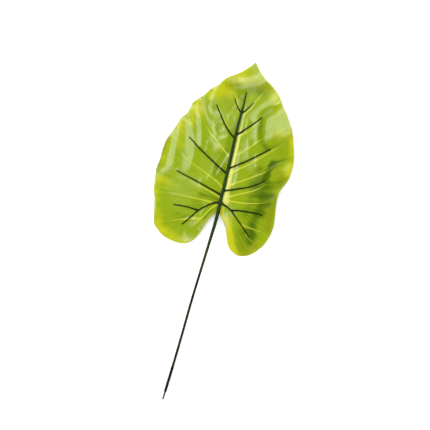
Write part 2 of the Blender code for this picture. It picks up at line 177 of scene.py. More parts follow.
MIDRIB_BAND = Vein(
    ((9.5, 2), (8.5, 18), (7, 50), (5, 98), (3.5, 137), (2.5, 170), (0.5, 206)), 1.0,
    (8.0, 4.6, 4.0, 3.2, 2.6, 2.0, 1.4), 0.55)
VEINS = (
    Vein(((1, 177), (6, 187), (12, 195), (17, 209), (23.6, 221), (30, 234)), 0.5),
    Vein(((3, 135), (16, 148), (24, 158.5), (32, 170), (37, 179)), 0.8),
    Vein(((4, 94), (17, 107.4), (26, 117), (35, 127), (44, 138), (52, 147), (61, 155)), 0.8),
    Vein(((5, 58), (19.5, 72.7), (38.4, 89), (56, 107), (73.7, 125), (92, 143),
          (101, 151)), 1.0),
    Vein(((6, 30), (18, 42.8), (38.8, 56.5), (59, 71), (69, 78.5), (80, 90), (98, 108)), 1.0,
         fades_from=0.3),
    Vein(((7, 10), (23.6, 19.6), (46.5, 32), (58, 38.2), (68, 46.2), (77, 54.5),
          (87, 63)), 1.0),
    Vein(((8, 4), (18, 6.1), (42.8, 9), (67, 14.5), (79, 18.4), (90.6, 23.3),
          (101, 29)), 1.0),
    Vein(((52, -33.2), (65, -35), (78.3, -35.8), (91.5, -37), (104, -40)), 0.8),
    Vein(((66, -50), (76, -57.5), (87, -64)), 0.4),
    Vein(((-11, 184), (-15.5, 197), (-23, 210), (-29, 222)), 0.7),
    Vein(((-22, 147), (-29, 154), (-38, 166), (-46.6, 177.5), (-55, 188.5)), 0.6),
    Vein(((-4, 91), (-16, 98.7), (-36, 113.5), (-55.5, 129), (-74, 145.5), (-84, 154)), 1.0),
    Vein(((-3, 28), (-15.2, 36.5), (-38.8, 46.8), (-74.5, 60.6), (-86, 66),
          (-104, 81)), 0.9),
    Vein(((-5, 9), (-31, 16), (-56, 22), (-81, 26.7), (-94, 28)), 0.8, fades_from=0.3),
    Vein(((-16.5, -5.3), (-42.6, -5.5), (-68.6, -7), (-94.5, -9.7), (-107.5, -10.7)), 0.8),
    Vein(((-3, -6), (-11.8, -14), (-18.2, -23.5), (-24.1, -34.5), (-37.4, -56),
          (-43.8, -67)), 1.0, fades_from=0.7),
    Vein(((-29, -42), (-43, -45.8), (-56.5, -50.5), (-70.3, -55.2), (-95.8, -67.5)), 1.0))

# Where the print is yellower, above nought, or deeper green, below it. Some yellower marks are
# painted sheen, and some deeper marks are painted shade along creases, puckers and flanks
# turned from the light
TINTS_WITH_PAINTED_LIGHT = strokes(
    (0.4, 34, -8, 264), (0.5, 15, -36, 248, -24, 252), (0.55, 9, -92, 184, -82, 160),
    (0.4, 11, 58, 226, 66, 215), (0.35, 10, -112, 122, -107, 88),
    (-0.4, 4, 98, 150, 84, 143, 72, 132), (0.2, 14, -118, 20, -112, 4),
    (0.35, 4, -54, 152, -52, 138, -42, 128, -28, 128), (0.65, 19, -66, 217, -40, 221),
    (0.3, 10, -54, 207), (0.4, 8, -77, 207, -74, 196), (0.35, 8, -47, 243, -30, 245),
    (-0.35, 3, -43, 154, -46, 146, -44, 136, -38, 131), (0.6, 9, -103, 168, -95, 140),
    (0.5, 13, -119, 133), (0.4, 11, -131, 104, -135, 60, -133, 20, -124, -30, -110, -72),
    (0.55, 14, -104, -84, -66, -93, -56, -93), (-0.25, 8, -72, -46, -58, -46),
    (0.5, 14, 36, 245, 48, 232), (0.45, 15, 82, 156, 104, 160), (0.25, 20, 66, 196, 60, 176),
    (0.25, 12, -30, 105), (0.4, 13, 106, 100, 98, 86), (0.75, 9, 106, 166, 113, 130, 116, 90),
    (0.4, 8, 108, 50, 103, 20, 104, -30, 92, -72), (1.5, 10, 20, -36, 32, -60, 46, -86),
    (1, 4, 7, -10, 10, -28), (0.7, 7, 48, -84, 62, -90, 78, -86, 88, -76),
    (-0.6, 10, 75, 62, 76, 30, 79, 6), (-0.4, 12, 92, 40, 90, 14), (-0.8, 11, 76, -8, 73, -28),
    (-0.35, 10, 84, -46, 98, -48), (-0.4, 7, 92, -4), (-0.3, 10, 50, -50, 54, -80),
    (-0.35, 10, 76, -42, 79, -62), (-0.3, 8, -24, 60, -20, 30), (-0.55, 10, 60, 82, 61, 52),
    (-0.5, 5, -14, -20, -21, -38), (-1.1, 6, 80, 100, 78, 86, 75, 72),
    (-0.65, 8, 114, 118, 86, 103), (-0.3, 7, 98, 40, 98, 18), (-0.25, 12, 74, 140, 90, 128),
    (-0.4, 9, 62, 120), (-0.45, 8, 86, 58, 104, 68), (-0.4, 11, 64, -46, 78, -64),
    (-0.4, 6, 39, 174, 38, 162, 43, 148, 52, 134, 66, 126), (-0.6, 10, 4, 233, 27, 233),
    (-0.3, 8, 66, 34, 84, 34), (-0.45, 10, -26, 232, -14, 212),
    (-0.4, 7, -12, 158, -15, 120, -14, 100), (-0.25, 7, -14, 92, -12, 56),
    (-0.5, 8, -10, 6, -40, 6), (-0.35, 9, -48, -14, -30, -20), (-0.3, 9, -28, 92, -28, 66),
    (-0.45, 12, 45, 60, 58, 30, 56, -10), (-0.3, 7, -66, 182, -60, 174), (-0.15, 25, -80, -45))

# Where the print is a dull olive, partly painted shade: the two small spots on the curled upper
# left margin are painted shadow
OLIVES_WITH_PAINTED_SHADE = strokes(
    (0.6, 11, -40, 230, -14, 229), (0.7, 13, 4, 238, 32, 244),
    (0.45, 7, 36, 196, 46, 204, 56, 210), (0.4, 14, -46, 206, -30, 190),
    (0.5, 11, 72, 148, 92, 156, 106, 166), (0.35, 12, 92, 128, 106, 136),
    (0.5, 14, 92, 92, 110, 76), (0.8, 11, 103, 34, 104, -30),
    (0.7, 13, 90, -70, 72, -88, 62, -72), (0.5, 9, 92, 50, 106, 66),
    (0.8, 6, -136, 98, -140, 60, -140, 26), (1.3, 3, -77.5, 211), (1.3, 3, -89.5, 192))

# Painted sheen: whitish patches mixed into the print where soft reflections of the light fall
PAINTED_SHEENS = strokes(
    (0.35, 8, -13, 200, -15, 186), (0.4, 7, -18, 172, -13, 150),
    (0.35, 10, -40, 168, -46, 146), (0.5, 8, -26, 140, -30, 128), (0.5, 9, -48, 114, -30, 108),
    (0.6, 7, -84, 186, -82, 172), (0.8, 6, 29, 172, 28, 142), (0.55, 8, 20, 122, 23, 96),
    (0.4, 8, 44, 96, 40, 80), (0.4, 8, 12, 74, 16, 36), (0.5, 5, 14, 14, 20, -4, 34, -10),
    (0.35, 6, -60, 188, -60, 196), (0.5, 7, -64, 172, -54, 164), (0.4, 6, -78, 116, -76, 104),
    (0.5, 5, -10, 96, -8, 80), (0.6, 8, -42, 242, -24, 246), (0.5, 7, -6, 280, 6, 262),
    (0.5, 6, -66, 24, -44, 18), (0.7, 5, 20, -30, 25, -44), (0.5, 6, -36, -48, -46, -58),
    (0.5, 6, -6, -28, -22, -54), (0.35, 6, -32, -80, -62, -94), (0.45, 9, -136, 20, -114, 40),
    (0.35, 10, 58, 230, 42, 232), (0.5, 5, 50, 202, 40, 188), (0.5, 8, -126, 118, -124, 112),
    (0.35, 8, 112, 104, 108, 94), (0.3, 6, -100, 156, -90, 156))

# The fine veins start up the midrib and fan out from the hub: where each starts, and how
# many degrees it climbs on its way outwards
FLOW_STARTS = (-100, -5, 8, 33, 62, 96, 138, 183, 228, 290)
FLOW_ANGLES = (-110, -3, 12, 33, 39, 43, 51, 64, 90, 90)
FLOW_RANGE = (-110.0, 300.0)
FLOW_HALVINGS = 20
HALVES_APART = 40

MIDRIB: Points = (
    (-0.3, -4), (-0.6, 24), (-1.4, 48), (-2.4, 73), (-3.1, 97), (-4.3, 121), (-5.2, 145),
    (-5.4, 169), (-5.1, 196), (-5.5, 211), (-6.2, 226))
MIDRIB_RADII = (3.0, 3.0, 2.9, 2.9, 2.9, 2.8, 2.5, 2.2, 1.7, 1.4, 1.0)
SIDE_RIBS: tuple[Points, ...] = (
    ((0, -1.4), (12.8, -5.3), (24.6, -11.2), (35, -19.8), (55.6, -37), (75.5, -54.5)),
    ((24.6, -11.2), (38, -7.7), (50.7, -6.1), (63.7, -4.8), (76.6, -3.4), (89, -4.4)),
    ((-0.5, 22.5), (11.3, 27), (23, 32), (46, 42.6), (56.5, 49.2), (67, 56.5), (75.5, 65)),
    ((-2.4, 67.5), (8.7, 75.7), (30, 92.2), (50, 109.6), (60, 118.7), (70, 127.7)),
    ((-4.6, 136.5), (4.7, 145.3), (13, 155), (21.8, 164.3), (29.6, 174.2), (37.6, 184)),
    ((-5, 181.5), (1.5, 188.5), (8, 198.8), (13.5, 208.5)),
    ((-5, 181.5), (-13.6, 189), (-20, 198), (-25.5, 207)),
    ((-4.6, 129.5), (-15.7, 136.6), (-25.4, 145.2), (-34.2, 154.8), (-42, 165.2),
     (-57.6, 186)),
    ((-2.2, 57.8), (-26, 69.2), (-49.3, 81.9), (-72.3, 95.2), (-83.2, 102.6),
     (-94.4, 109.4)),
    ((-0.5, 13.5), (-13.1, 16.7), (-38.2, 23.2), (-63.4, 29.4), (-89, 35), (-101.4, 38.3)),
    ((0, -1.4), (-11.5, -5), (-22.4, -13), (-32, -21.4), (-41, -31.4), (-55.6, -53.4),
     (-63.7, -63.8)),
    ((-38, -27.6), (-51, -26.9), (-64, -26.7), (-77, -27.8), (-90, -28.9)))

STEM_LINE: Points = (
    (0.3, 0), (1.0, -36), (-0.2, -80), (-2.1, -133), (-4.5, -206), (-5.5, -278),
    (-6.8, -339), (-8.3, -387), (-9.1, -411.5))


def smooth_path(points: Points, step: float) -> np.ndarray:
    """Carry a Catmull-Rom curve through points.

    Between two points the curve is a cubic whose slope at each end is half the run between
    that point's neighbours.

    Args:
        points: Points that the curve passes through, in order.
        step: Length between the curve's points, roughly.

    Returns:
        The curve's points, one row each.
    """
    knots = np.asarray(points, dtype=float)
    padded = np.vstack([2 * knots[0] - knots[1], knots, 2 * knots[-1] - knots[-2]])
    pieces = []
    for before, start, end, after in zip(padded, padded[1:], padded[2:], padded[3:]):
        count = max(1, round(float(np.linalg.norm(end - start)) / step))
        t = np.linspace(0, 1, count, endpoint=False)[:, None]
        square = 2 * before - 5 * start + 4 * end - after
        cube = 3 * start - before - 3 * end + after
        pieces.append(start + 0.5 * ((end - before) * t + square * t**2 + cube * t**3))
    pieces.append(knots[-1:])
    return np.vstack(pieces)


def run_along(path: np.ndarray) -> np.ndarray:
    """Give the distance run along a path at each of its points."""
    steps = np.linalg.norm(np.diff(path, axis=0), axis=1)
    return np.concatenate([[0.0], np.cumsum(steps)])


def nearest_on(line: Points, plan: np.ndarray,
               reach: float = np.inf) -> tuple[np.ndarray, np.ndarray]:
    """Find how near a smooth line passes to each point.

    Each point is dropped square onto every short straight piece of the line, held to the
    piece's ends, and the nearest foot is kept.

    Args:
        line: The line's points, in order.
        plan: The points to measure from, one row each.
        reach: Points further than this outside the line's bounds are left out.

    Returns:
        The distance to the line, endless for points left out, and the share of its length
        run at the nearest foot.
    """
    if len(line) > 1:
        path = smooth_path(line, LINE_STEP)
    else:
        path = np.array([line[0], line[0]]) + [[0], [1e-3]]
    near = ((plan > path.min(axis=0) - reach) & (plan < path.max(axis=0) + reach)).all(axis=1)
    run = np.diff(path, axis=0)
    offset = plan[near][:, None] - path[:-1]
    share = np.clip((offset * run).sum(axis=-1) / (run * run).sum(axis=-1), 0, 1)
    gaps = np.linalg.norm(offset - share[..., None] * run, axis=-1)
    best = gaps.argmin(axis=1)
    rows = np.arange(len(best))
    start = run_along(path)
    away, reached = np.full(len(plan), np.inf), np.zeros(len(plan))
    away[near] = gaps[rows, best]
    reached[near] = (start[best] + share[rows, best] * np.diff(start)[best]) / start[-1]
    return away, reached


def soft_step(low: float, high: float, value: np.ndarray) -> np.ndarray:
    """Rise from 0 at low to 1 at high along 3 t squared less 2 t cubed."""
    t = np.clip((value - low) / (high - low), 0, 1)
    return t * t * (3 - 2 * t)


def round_end(left: np.ndarray) -> np.ndarray:
    """Close a radius as a quarter circle does, by the share left to run to its end."""
    return np.sqrt(np.clip(1 - (1 - left) ** 2, LEAST_END, 1))


def unit(rows: np.ndarray) -> np.ndarray:
    """Scale each row to length one."""
    return rows / np.linalg.norm(rows, axis=-1, keepdims=True)


def linked(name: str, data: Any) -> bpy.types.Object:
    """Make an object of a mesh, light or camera and link it to the scene."""
    item = bpy.data.objects.new(name, data)
    bpy.context.scene.collection.objects.link(item)
    return item


@dataclass(frozen=True)
class Surface:
    """Points in millimetres and the loops of point numbers that span them."""

    points: np.ndarray
    faces: list[tuple[int, ...]]

    def place(self, name: str, finish: bpy.types.Material) -> bpy.types.Object:
        """Make the surface an object at the origin, with its place in its mesh.

        Args:
            name: The object's name.
            finish: Its material.

        Returns:
            The linked object, shaded smooth.
        """
        mesh = bpy.data.meshes.new(name)
        shift = np.array([*HUB_AT, 0.0])
        mesh.from_pydata(((self.points + shift) * MM).tolist(), [], self.faces)
        mesh.update()
        mesh.shade_smooth()
        mesh.materials.append(finish)
        return linked(name, mesh)


def grid_faces(count: int, columns: int, wrap: tuple[int, int] = (0, 0)) -> np.ndarray:
    """Give the four-sided faces of a grid of points numbered row by row.

    Args:
        count: Number of points in all.
        columns: Number of points in a row.
        wrap: One where the last row joins the first, and one where each row's end joins
            its start.

    Returns:
        One row of four point numbers for each face.
    """
    number = np.arange(count).reshape(-1, columns)
    number = np.pad(number, ((0, wrap[0]), (0, wrap[1])), mode="wrap")
    corners = [number[:-1, :-1], number[:-1, 1:], number[1:, 1:], number[1:, :-1]]
    return np.stack(corners, axis=-1).reshape(-1, 4)


def along(rows: np.ndarray, run: np.ndarray, distance: np.ndarray) -> np.ndarray:
    """Read a path's rows of three values at given distances along it."""
    return np.column_stack([np.interp(distance, run, rows[:, axis]) for axis in range(3)])


def rings(centre: np.ndarray, forward: np.ndarray, wide: np.ndarray, tall: np.ndarray,
          around: int) -> np.ndarray:
    """Set an oval ring round each point of a middle line.

    Side is level and square to the line, and up is square to both. The ring is
    centre + side * wide * cos(a) + up * tall * sin(a).

    Args:
        centre: The line's points, one row of three values each.
        forward: The line's heading at each point.
        wide: Half the ring's width at each point.
        tall: Half its height at each point.
        around: Number of points in a ring.

    Returns:
        The rings' points, ring by ring.
    """
    side = unit(np.cross(forward, (0.0, 0.0, 1.0)))
    up = np.cross(side, forward)
    turn = np.linspace(0, 2 * np.pi, around, endpoint=False)
    return (centre[:, None] + side[:, None] * (wide[:, None] * np.cos(turn))[..., None]
            + up[:, None] * (tall[:, None] * np.sin(turn))[..., None])


def sweep(path: np.ndarray, wide: np.ndarray, tall: np.ndarray, around: int) -> Surface:
    """Carry an oval section along a path and close it to a point at both ends.

    Args:
        path: Middle line, one row of three values each.
        wide: Half the section's width at each point.
        tall: Half its height at each point.
        around: Number of points in a ring.

    Returns:
        The closed surface.
    """
    body = rings(path, unit(np.gradient(path, axis=0)), wide, tall, around)
    count = len(path) * around
    last = count - around
    edge = list(zip(range(around), [*range(1, around), 0]))
    faces = [tuple(face) for face in grid_faces(count, around, (0, 1)).tolist()]
    faces += [(b, a, count) for a, b in edge]
    faces += [(last + a, last + b, count + 1) for a, b in edge]
    points = np.vstack([body.reshape(-1, 3), path[:1], path[-1:]])
    return Surface(points, [face[::-1] for face in faces])


def turned(path: np.ndarray, outline: np.ndarray, around: int) -> Surface:
    """Turn a closed outline round a bent axis, as for a tube with a bore.

    The outline gives pairs of distance along the axis and radius. Its last point joins its
    first, and the ring at each pair is centred on the axis at that distance.

    Args:
        path: The axis, one row of three values each.
        outline: The closed outline's pairs, outer side first.
        around: Number of points in a ring.

    Returns:
        The closed surface.
    """
    run = run_along(path)
    distance, radius = outline.T
    forward = unit(along(unit(np.gradient(path, axis=0)), run, distance))
    body = rings(along(path, run, distance), forward, radius, radius, around)
    faces = grid_faces(len(outline) * around, around, (1, 1))[:, [0, 3, 2, 1]]
    return Surface(body.reshape(-1, 3), [tuple(face) for face in faces.tolist()])


def rounded(outline: Points, step: float = 3.0) -> np.ndarray:
    """Give an outline more points along its straight runs.

    Args:
        outline: Pairs of distance and radius, the last joined to the first.
        step: Length between points, roughly.

    Returns:
        The same outline as an array, with points about every step.
    """
    corners = np.asarray(outline, dtype=float)
    pieces = []
    for start, end in zip(corners, np.roll(corners, -1, axis=0)):
        count = max(1, round(float(np.linalg.norm(end - start)) / step))
        pieces.append(start + (end - start) * np.linspace(0, 1, count, endpoint=False)[:, None])
    return np.vstack(pieces)


class Value:
    """A number at a node's socket, with arithmetic that adds Math nodes."""

    def __init__(self, graph: "Graph", socket: bpy.types.NodeSocket) -> None:
        """Wrap a socket of a graph."""
        self.graph = graph
        self.socket = socket

    def _maths(self, operation: str, first: Number, second: Number) -> "Value":
        """Add a Math node on two numbers and give its result."""
        return self.graph.value(
            "ShaderNodeMath", {"operation": operation}, {0: first, 1: second})

    def __add__(self, other: Number) -> "Value":
        """Add."""
        return self._maths("ADD", self, other)

    __radd__ = __add__

    def __sub__(self, other: Number) -> "Value":
        """Take away."""
        return self._maths("SUBTRACT", self, other)

    def __rsub__(self, other: Number) -> "Value":
        """Take this from a number."""
        return self._maths("SUBTRACT", other, self)

    def __mul__(self, other: Number) -> "Value":
        """Multiply."""
        return self._maths("MULTIPLY", self, other)

    __rmul__ = __mul__

    def above(self, low: float, high: float) -> "Value":
        """Rise softly from 0 at low to 1 at high."""
        settings = {"interpolation_type": "SMOOTHSTEP"}
        sockets = {"Value": self, "From Min": low, "From Max": high}
        return self.graph.value("ShaderNodeMapRange", settings, sockets)


Input = Union[float, Sequence[float], Value, bpy.types.NodeSocket]


class Graph:
    """The node tree of one material."""

    def __init__(self, name: str) -> None:
        """Start a material of that name with an empty tree."""
        self.material = bpy.data.materials.new(name)
        self.material.use_nodes = True
        self.tree = self.material.node_tree
        self.tree.nodes.clear()

    def node(self, kind: str, settings: dict[str, Any], sockets: dict[Any, Input]) -> Any:
        """Add a node.

        Args:
            kind: The node's type.
            settings: Its settings, which are set first.
            sockets: Values or links for its sockets, by name or number.

        Returns:
            The node.
        """
        node = self.tree.nodes.new(kind)
        for name, setting in settings.items():
            setattr(node, name, setting)
        for key, given in sockets.items():
            socket = node.inputs[key]
            if isinstance(given, Value):
                self.tree.links.new(given.socket, socket)
            elif isinstance(given, bpy.types.NodeSocket):
                self.tree.links.new(given, socket)
            else:
                socket.default_value = given
        return node

    def value(self, kind: str, settings: dict[str, Any], sockets: dict[Any, Input]) -> Value:
        """Add a node and wrap its first output as a number."""
        return Value(self, self.node(kind, settings, sockets).outputs[0])

    def attribute(self, name: str) -> Value:
        """Read a number that the mesh holds at each point."""
        node = self.node("ShaderNodeAttribute", {"attribute_name": name}, {})
        return Value(self, node.outputs["Fac"])

    def noise(self, scale: float, detail: float,
              stretch: Sequence[float] = (1, 1, 1)) -> Value:
        """Make soft noise on the object's own coordinates.

        Args:
            scale: Features to a metre, roughly.
            detail: Octaves of finer noise.
            stretch: Scale along each axis.

        Returns:
            The noise, from 0 to 1 about a half.
        """
        where = self.node("ShaderNodeTexCoord", {}, {}).outputs["Object"]
        mapping = self.node("ShaderNodeMapping", {}, {"Vector": where, "Scale": stretch})
        sockets = {"Vector": mapping.outputs[0], "Scale": scale, "Detail": detail}
        return self.value("ShaderNodeTexNoise", {}, sockets)

    def flow(self, stretch: Sequence[float], detail: float) -> Value:
        """Make noise drawn out along the side veins.

        Args:
            stretch: Features to a millimetre along and across the veins.
            detail: Octaves of finer noise.

        Returns:
            The noise, from 0 to 1 about a half.
        """
        where = self.node("ShaderNodeAttribute", {"attribute_name": "flow"}, {})
        mapping = self.node(
            "ShaderNodeMapping", {}, {"Vector": where.outputs["Vector"], "Scale": stretch})
        sockets = {"Vector": mapping.outputs[0], "Scale": 1.0, "Detail": detail}
        return self.value("ShaderNodeTexNoise", {}, sockets)

    def mix(self, share: Number, first: Any, second: Any) -> bpy.types.NodeSocket:
        """Blend two colours.

        Args:
            share: How much of the second shows.
            first: A colour or a colour socket.
            second: A colour or a colour socket.

        Returns:
            The blended colour's socket.
        """
        colours = [(*colour, 1.0) if isinstance(colour, tuple) else colour
                   for colour in (first, second)]
        sockets = {0: share, 6: colours[0], 7: colours[1]}
        return self.node("ShaderNodeMix", {"data_type": "RGBA"}, sockets).outputs[2]

    def bump(self, height: Value, distance: float, strength: float = 1.0,
             normal: Optional[bpy.types.NodeSocket] = None) -> bpy.types.NodeSocket:
        """Turn a height into a normal.

        Args:
            height: The height, from 0 to 1.
            distance: Metres that a height of 1 stands for.
            strength: Share of the effect.
            normal: A normal to add to.

        Returns:
            The normal's socket.
        """
        sockets: dict[Any, Input] = {
            "Height": height, "Distance": distance, "Strength": strength}
        if normal is not None:
            sockets["Normal"] = normal
        return self.node("ShaderNodeBump", {}, sockets).outputs[0]

    def finish(self, **sockets: Input) -> bpy.types.Material:
        """Close the tree with a Principled shader.

        Args:
            **sockets: The shader's sockets, with underscores for spaces.

        Returns:
            The material.
        """
        named = {name.replace("_", " "): given for name, given in sockets.items()}
        shader = self.node("ShaderNodeBsdfPrincipled", {}, named)
        self.node("ShaderNodeOutputMaterial", {}, {"Surface": shader.outputs[0]})
        return self.material


@dataclass(frozen=True)
class BladeFinish:
    """Glossy printed film: lime with yellow veins and margin above, plain and dull below.

    A cover is how much of a print shows, and a gloss is the surface's roughness. The edges
    say where a print begins and ends to fade, in millimetres from the margin and in half
    widths of a vein or of the midrib's band.
    """

    lime: Colour = (0.215, 0.310, 0.002)
    # This deep green is dark print and painted shade.
    deep_green_and_shade: Colour = (0.060, 0.118, 0.0)
    # This olive is olive print and painted shade.
    olive_with_painted_shade: Colour = (0.190, 0.232, 0.0)
    # This whitish colour is painted sheen.
    painted_sheen: Colour = (0.42, 0.47, 0.20)
    light: Colour = (0.46, 0.47, 0.004)
    margin: Colour = (0.43, 0.45, 0.002)
    vein: Colour = (0.51, 0.52, 0.035)
    band: Colour = (0.60, 0.59, 0.10)
    underside: Colour = (0.27, 0.35, 0.08)
    underside_shade: Colour = (0.19, 0.27, 0.05)
    underside_vein: Colour = (0.40, 0.46, 0.15)
    streak_cover: float = 0.25
    margin_cover: float = 0.55
    painted_sheen_cover: float = 0.5
    vein_cover: float = 0.8
    band_cover: float = 0.9
    underside_vein_cover: float = 0.6
    mottling: float = 0.6
    margin_waver: float = 7.0
    margin_edge: tuple[float, float] = (-1.0, 6.5)
    vein_edge: tuple[float, float] = (0.3, 1.5)
    band_edge: tuple[float, float] = (0.5, 1.15)
    gloss: float = 0.17
    gloss_spread: float = 0.14
    underside_gloss: float = 0.5
    refraction: float = 1.5

    def make(self) -> bpy.types.Material:
        """Build the material.

        Returns:
            A material that reads the blade's printed pattern from its point attributes.
        """
        graph = Graph("printed_lime_film")
        mottle = graph.noise(26, 3)
        flow = graph.flow((0.02, 0.30, 1.0), 3)
        fine_flow = graph.flow((0.05, 0.6, 1.0), 2)
        # Yellower tint marks are print and, in places, painted sheen.
        tint_with_painted_light = graph.attribute("tint_with_painted_light") + (mottle - 0.5) * self.mottling + (flow - 0.5)
        colour = graph.mix(tint_with_painted_light.above(0.0, 1.0), self.lime, self.light)
        colour = graph.mix(fine_flow.above(0.5, 0.8) * self.streak_cover, colour, self.light)
        edge = graph.attribute("margin_distance") + (mottle - 0.5) * self.margin_waver
        edge = (1 - edge.above(*self.margin_edge)) * self.margin_cover
        colour = graph.mix(edge, colour, self.margin)
        # Olive marks: print, and in places painted shade.
        colour = graph.mix(graph.attribute("olive_with_painted_shade").above(0.0, 1.0), colour, self.olive_with_painted_shade)
        # Deeper tint marks are print and, in places, painted shade in creases and on flanks
        # turned from the light.
        colour = graph.mix((tint_with_painted_light * -1.0).above(0.0, 1.0), colour, self.deep_green_and_shade)
        # Painted sheen: a whitish haze mixed into the colour where reflections fall.
        painted_sheen = graph.attribute("painted_sheen") * (flow * 0.6 + 0.7)
        colour = graph.mix(painted_sheen.above(0.0, 1.0) * self.painted_sheen_cover, colour, self.painted_sheen)
        vein = 1 - graph.attribute("vein_edge").above(*self.vein_edge)
        vein = vein * graph.attribute("vein_print")
        colour = graph.mix(vein * self.vein_cover, colour, self.vein)
        band = 1 - graph.attribute("band_edge").above(*self.band_edge)
        band = band * graph.attribute("band_print")
        colour = graph.mix(band * self.band_cover, colour, self.band)
        below = graph.attribute("below").above(0.4, 0.6)
        under = graph.mix((flow * 0.7 + mottle * 0.5).above(0.3, 0.9), self.underside,
                          self.underside_shade)
        under = graph.mix(vein * self.underside_vein_cover, under, self.underside_vein)
        colour = graph.mix(below, colour, under)
        smear = graph.noise(60, 3, (1.0, 0.35, 1.0))
        rough = self.gloss + (smear - 0.5) * self.gloss_spread
        rough = rough + below * (self.underside_gloss - self.gloss)
        normal = graph.bump(graph.noise(900, 2), 0.00004, 0.5)
        normal = graph.bump(fine_flow, 0.00010, 0.4, normal)
        normal = graph.bump(graph.noise(90, 2), 0.0010, 0.1, normal)
        return graph.finish(
            Base_Color=colour, Roughness=rough, Normal=normal, IOR=self.refraction)


@dataclass(frozen=True)
class MouldedFinish:
    """Satin dark plastic with a fine grain and slightly worn, paler patches."""

    name: str
    colour: Colour
    worn: Colour
    gloss: float
    grain: float = 700.0
    shine: float = 0.07
    worn_cover: float = 0.5
    gloss_spread: float = 0.2

    def make(self) -> bpy.types.Material:
        """Build the material."""
        graph = Graph(self.name)
        patches = graph.noise(90, 3)
        share = patches.above(0.45, 0.75) * self.worn_cover
        colour = graph.mix(share, self.colour, self.worn)
        rough = self.gloss + (graph.noise(300, 2) - 0.5) * self.gloss_spread
        normal = graph.bump(graph.noise(self.grain, 2), 0.00015, 0.6)
        return graph.finish(
            Base_Color=colour, Roughness=rough, Normal=normal,
            Specular_IOR_Level=self.shine)


@dataclass(frozen=True)
class WireFinish:
    """Dull drawn wire with a few darker stains."""

    colour: Colour = (0.060, 0.058, 0.045)
    stain: Colour = (0.022, 0.020, 0.014)
    gloss: float = 0.38
    gloss_spread: float = 0.3
    metal: float = 0.9

    def make(self) -> bpy.types.Material:
        """Build the material."""
        graph = Graph("bare_wire")
        stains = graph.noise(400, 3, (1.0, 0.3, 1.0))
        colour = graph.mix(stains.above(0.5, 0.7), self.colour, self.stain)
        rough = self.gloss + (stains - 0.5) * self.gloss_spread
        drawn = graph.noise(2500, 1, (1.0, 0.05, 1.0))
        normal = graph.bump(drawn, 0.00008, 0.6)
        return graph.finish(
            Base_Color=colour, Roughness=rough, Normal=normal, Metallic=self.metal)


@dataclass(frozen=True)
class BladeForm:
    """The height of the blade over its plan."""

    thickness: float = 0.8
    edge_thickness: float = 0.45
    edge_reach: float = 3.0
    crest_height: float = 17.0
    crest_y: float = 90.0
    side_drop: float = 9.0
    half_width: float = 130.0
    end_drop: float = 13.0
    half_length: float = 197.0
    lowest_middle: float = 0.9
    floor_softness: float = 2.0
    vein_relief: float = 0.6
    vein_reach: float = 2.0
    vein_end_fall: float = 0.7
    vein_falls_from: float = 0.8

    def middle(self, plan: np.ndarray) -> np.ndarray:
        """Work out the height of the blade's middle surface.

        The height is a low dome that falls with the square of the distance from its crest,
        plus the folds, swells and crinkles. Where that comes near the table it is bent up
        along a hyperbola, and round each rest spot it is blended to a small flat.

        Args:
            plan: Points in plan, one row each.

        Returns:
            One height for each point.
        """
        x, y = plan.T
        height = self.crest_height - self.side_drop * (x / self.half_width) ** 2
        height = height - self.end_drop * ((y - self.crest_y) / self.half_length) ** 2
        for mark in (*FOLDS, *SWELLS, *CRINKLES):
            height = height + mark.over(plan)
        above = height - self.lowest_middle
        height = self.lowest_middle + 0.5 * (above + np.hypot(above, self.floor_softness))
        for line, flat, blend in REST_SPOTS:
            share = 1 - soft_step(flat, blend, nearest_on(line, plan)[0])
            height = height + share * (self.thickness / 2 - height)
        return height + self.vein_relief * self.vein_rise(plan)

    def vein_rise(self, plan: np.ndarray) -> np.ndarray:
        """Give each point's share of the veins' relief, a soft round ridge on each vein."""
        rise = np.zeros(len(plan))
        for vein in (*VEINS, MIDRIB_BAND):
            away, share = nearest_on(vein.line, plan, FADED_OUT * self.vein_reach)
            ridge = np.exp(-((away / self.vein_reach) ** 2))
            fall = self.vein_end_fall * soft_step(self.vein_falls_from, 1.0, share)
            rise = np.maximum(rise, ridge * (1 - fall))
        return rise

    def half_thickness(self, margin_distance: np.ndarray, upright: np.ndarray) -> np.ndarray:
        """Work out half the blade's upright thickness, thinner just at the margin.

        Args:
            margin_distance: Each point's distance to the margin.
            upright: The upward part of the surface's normal at each point.

        Returns:
            Half the thickness across the sheet, over upright.
        """
        share = soft_step(0.0, self.edge_reach, margin_distance)
        thick = self.edge_thickness + share * (self.thickness - self.edge_thickness)
        return thick / 2 / upright

    def top(self, plan: np.ndarray) -> np.ndarray:
        """Give the height of the blade's upper face, away from the margin."""
        return self.middle(plan) + self.thickness / 2


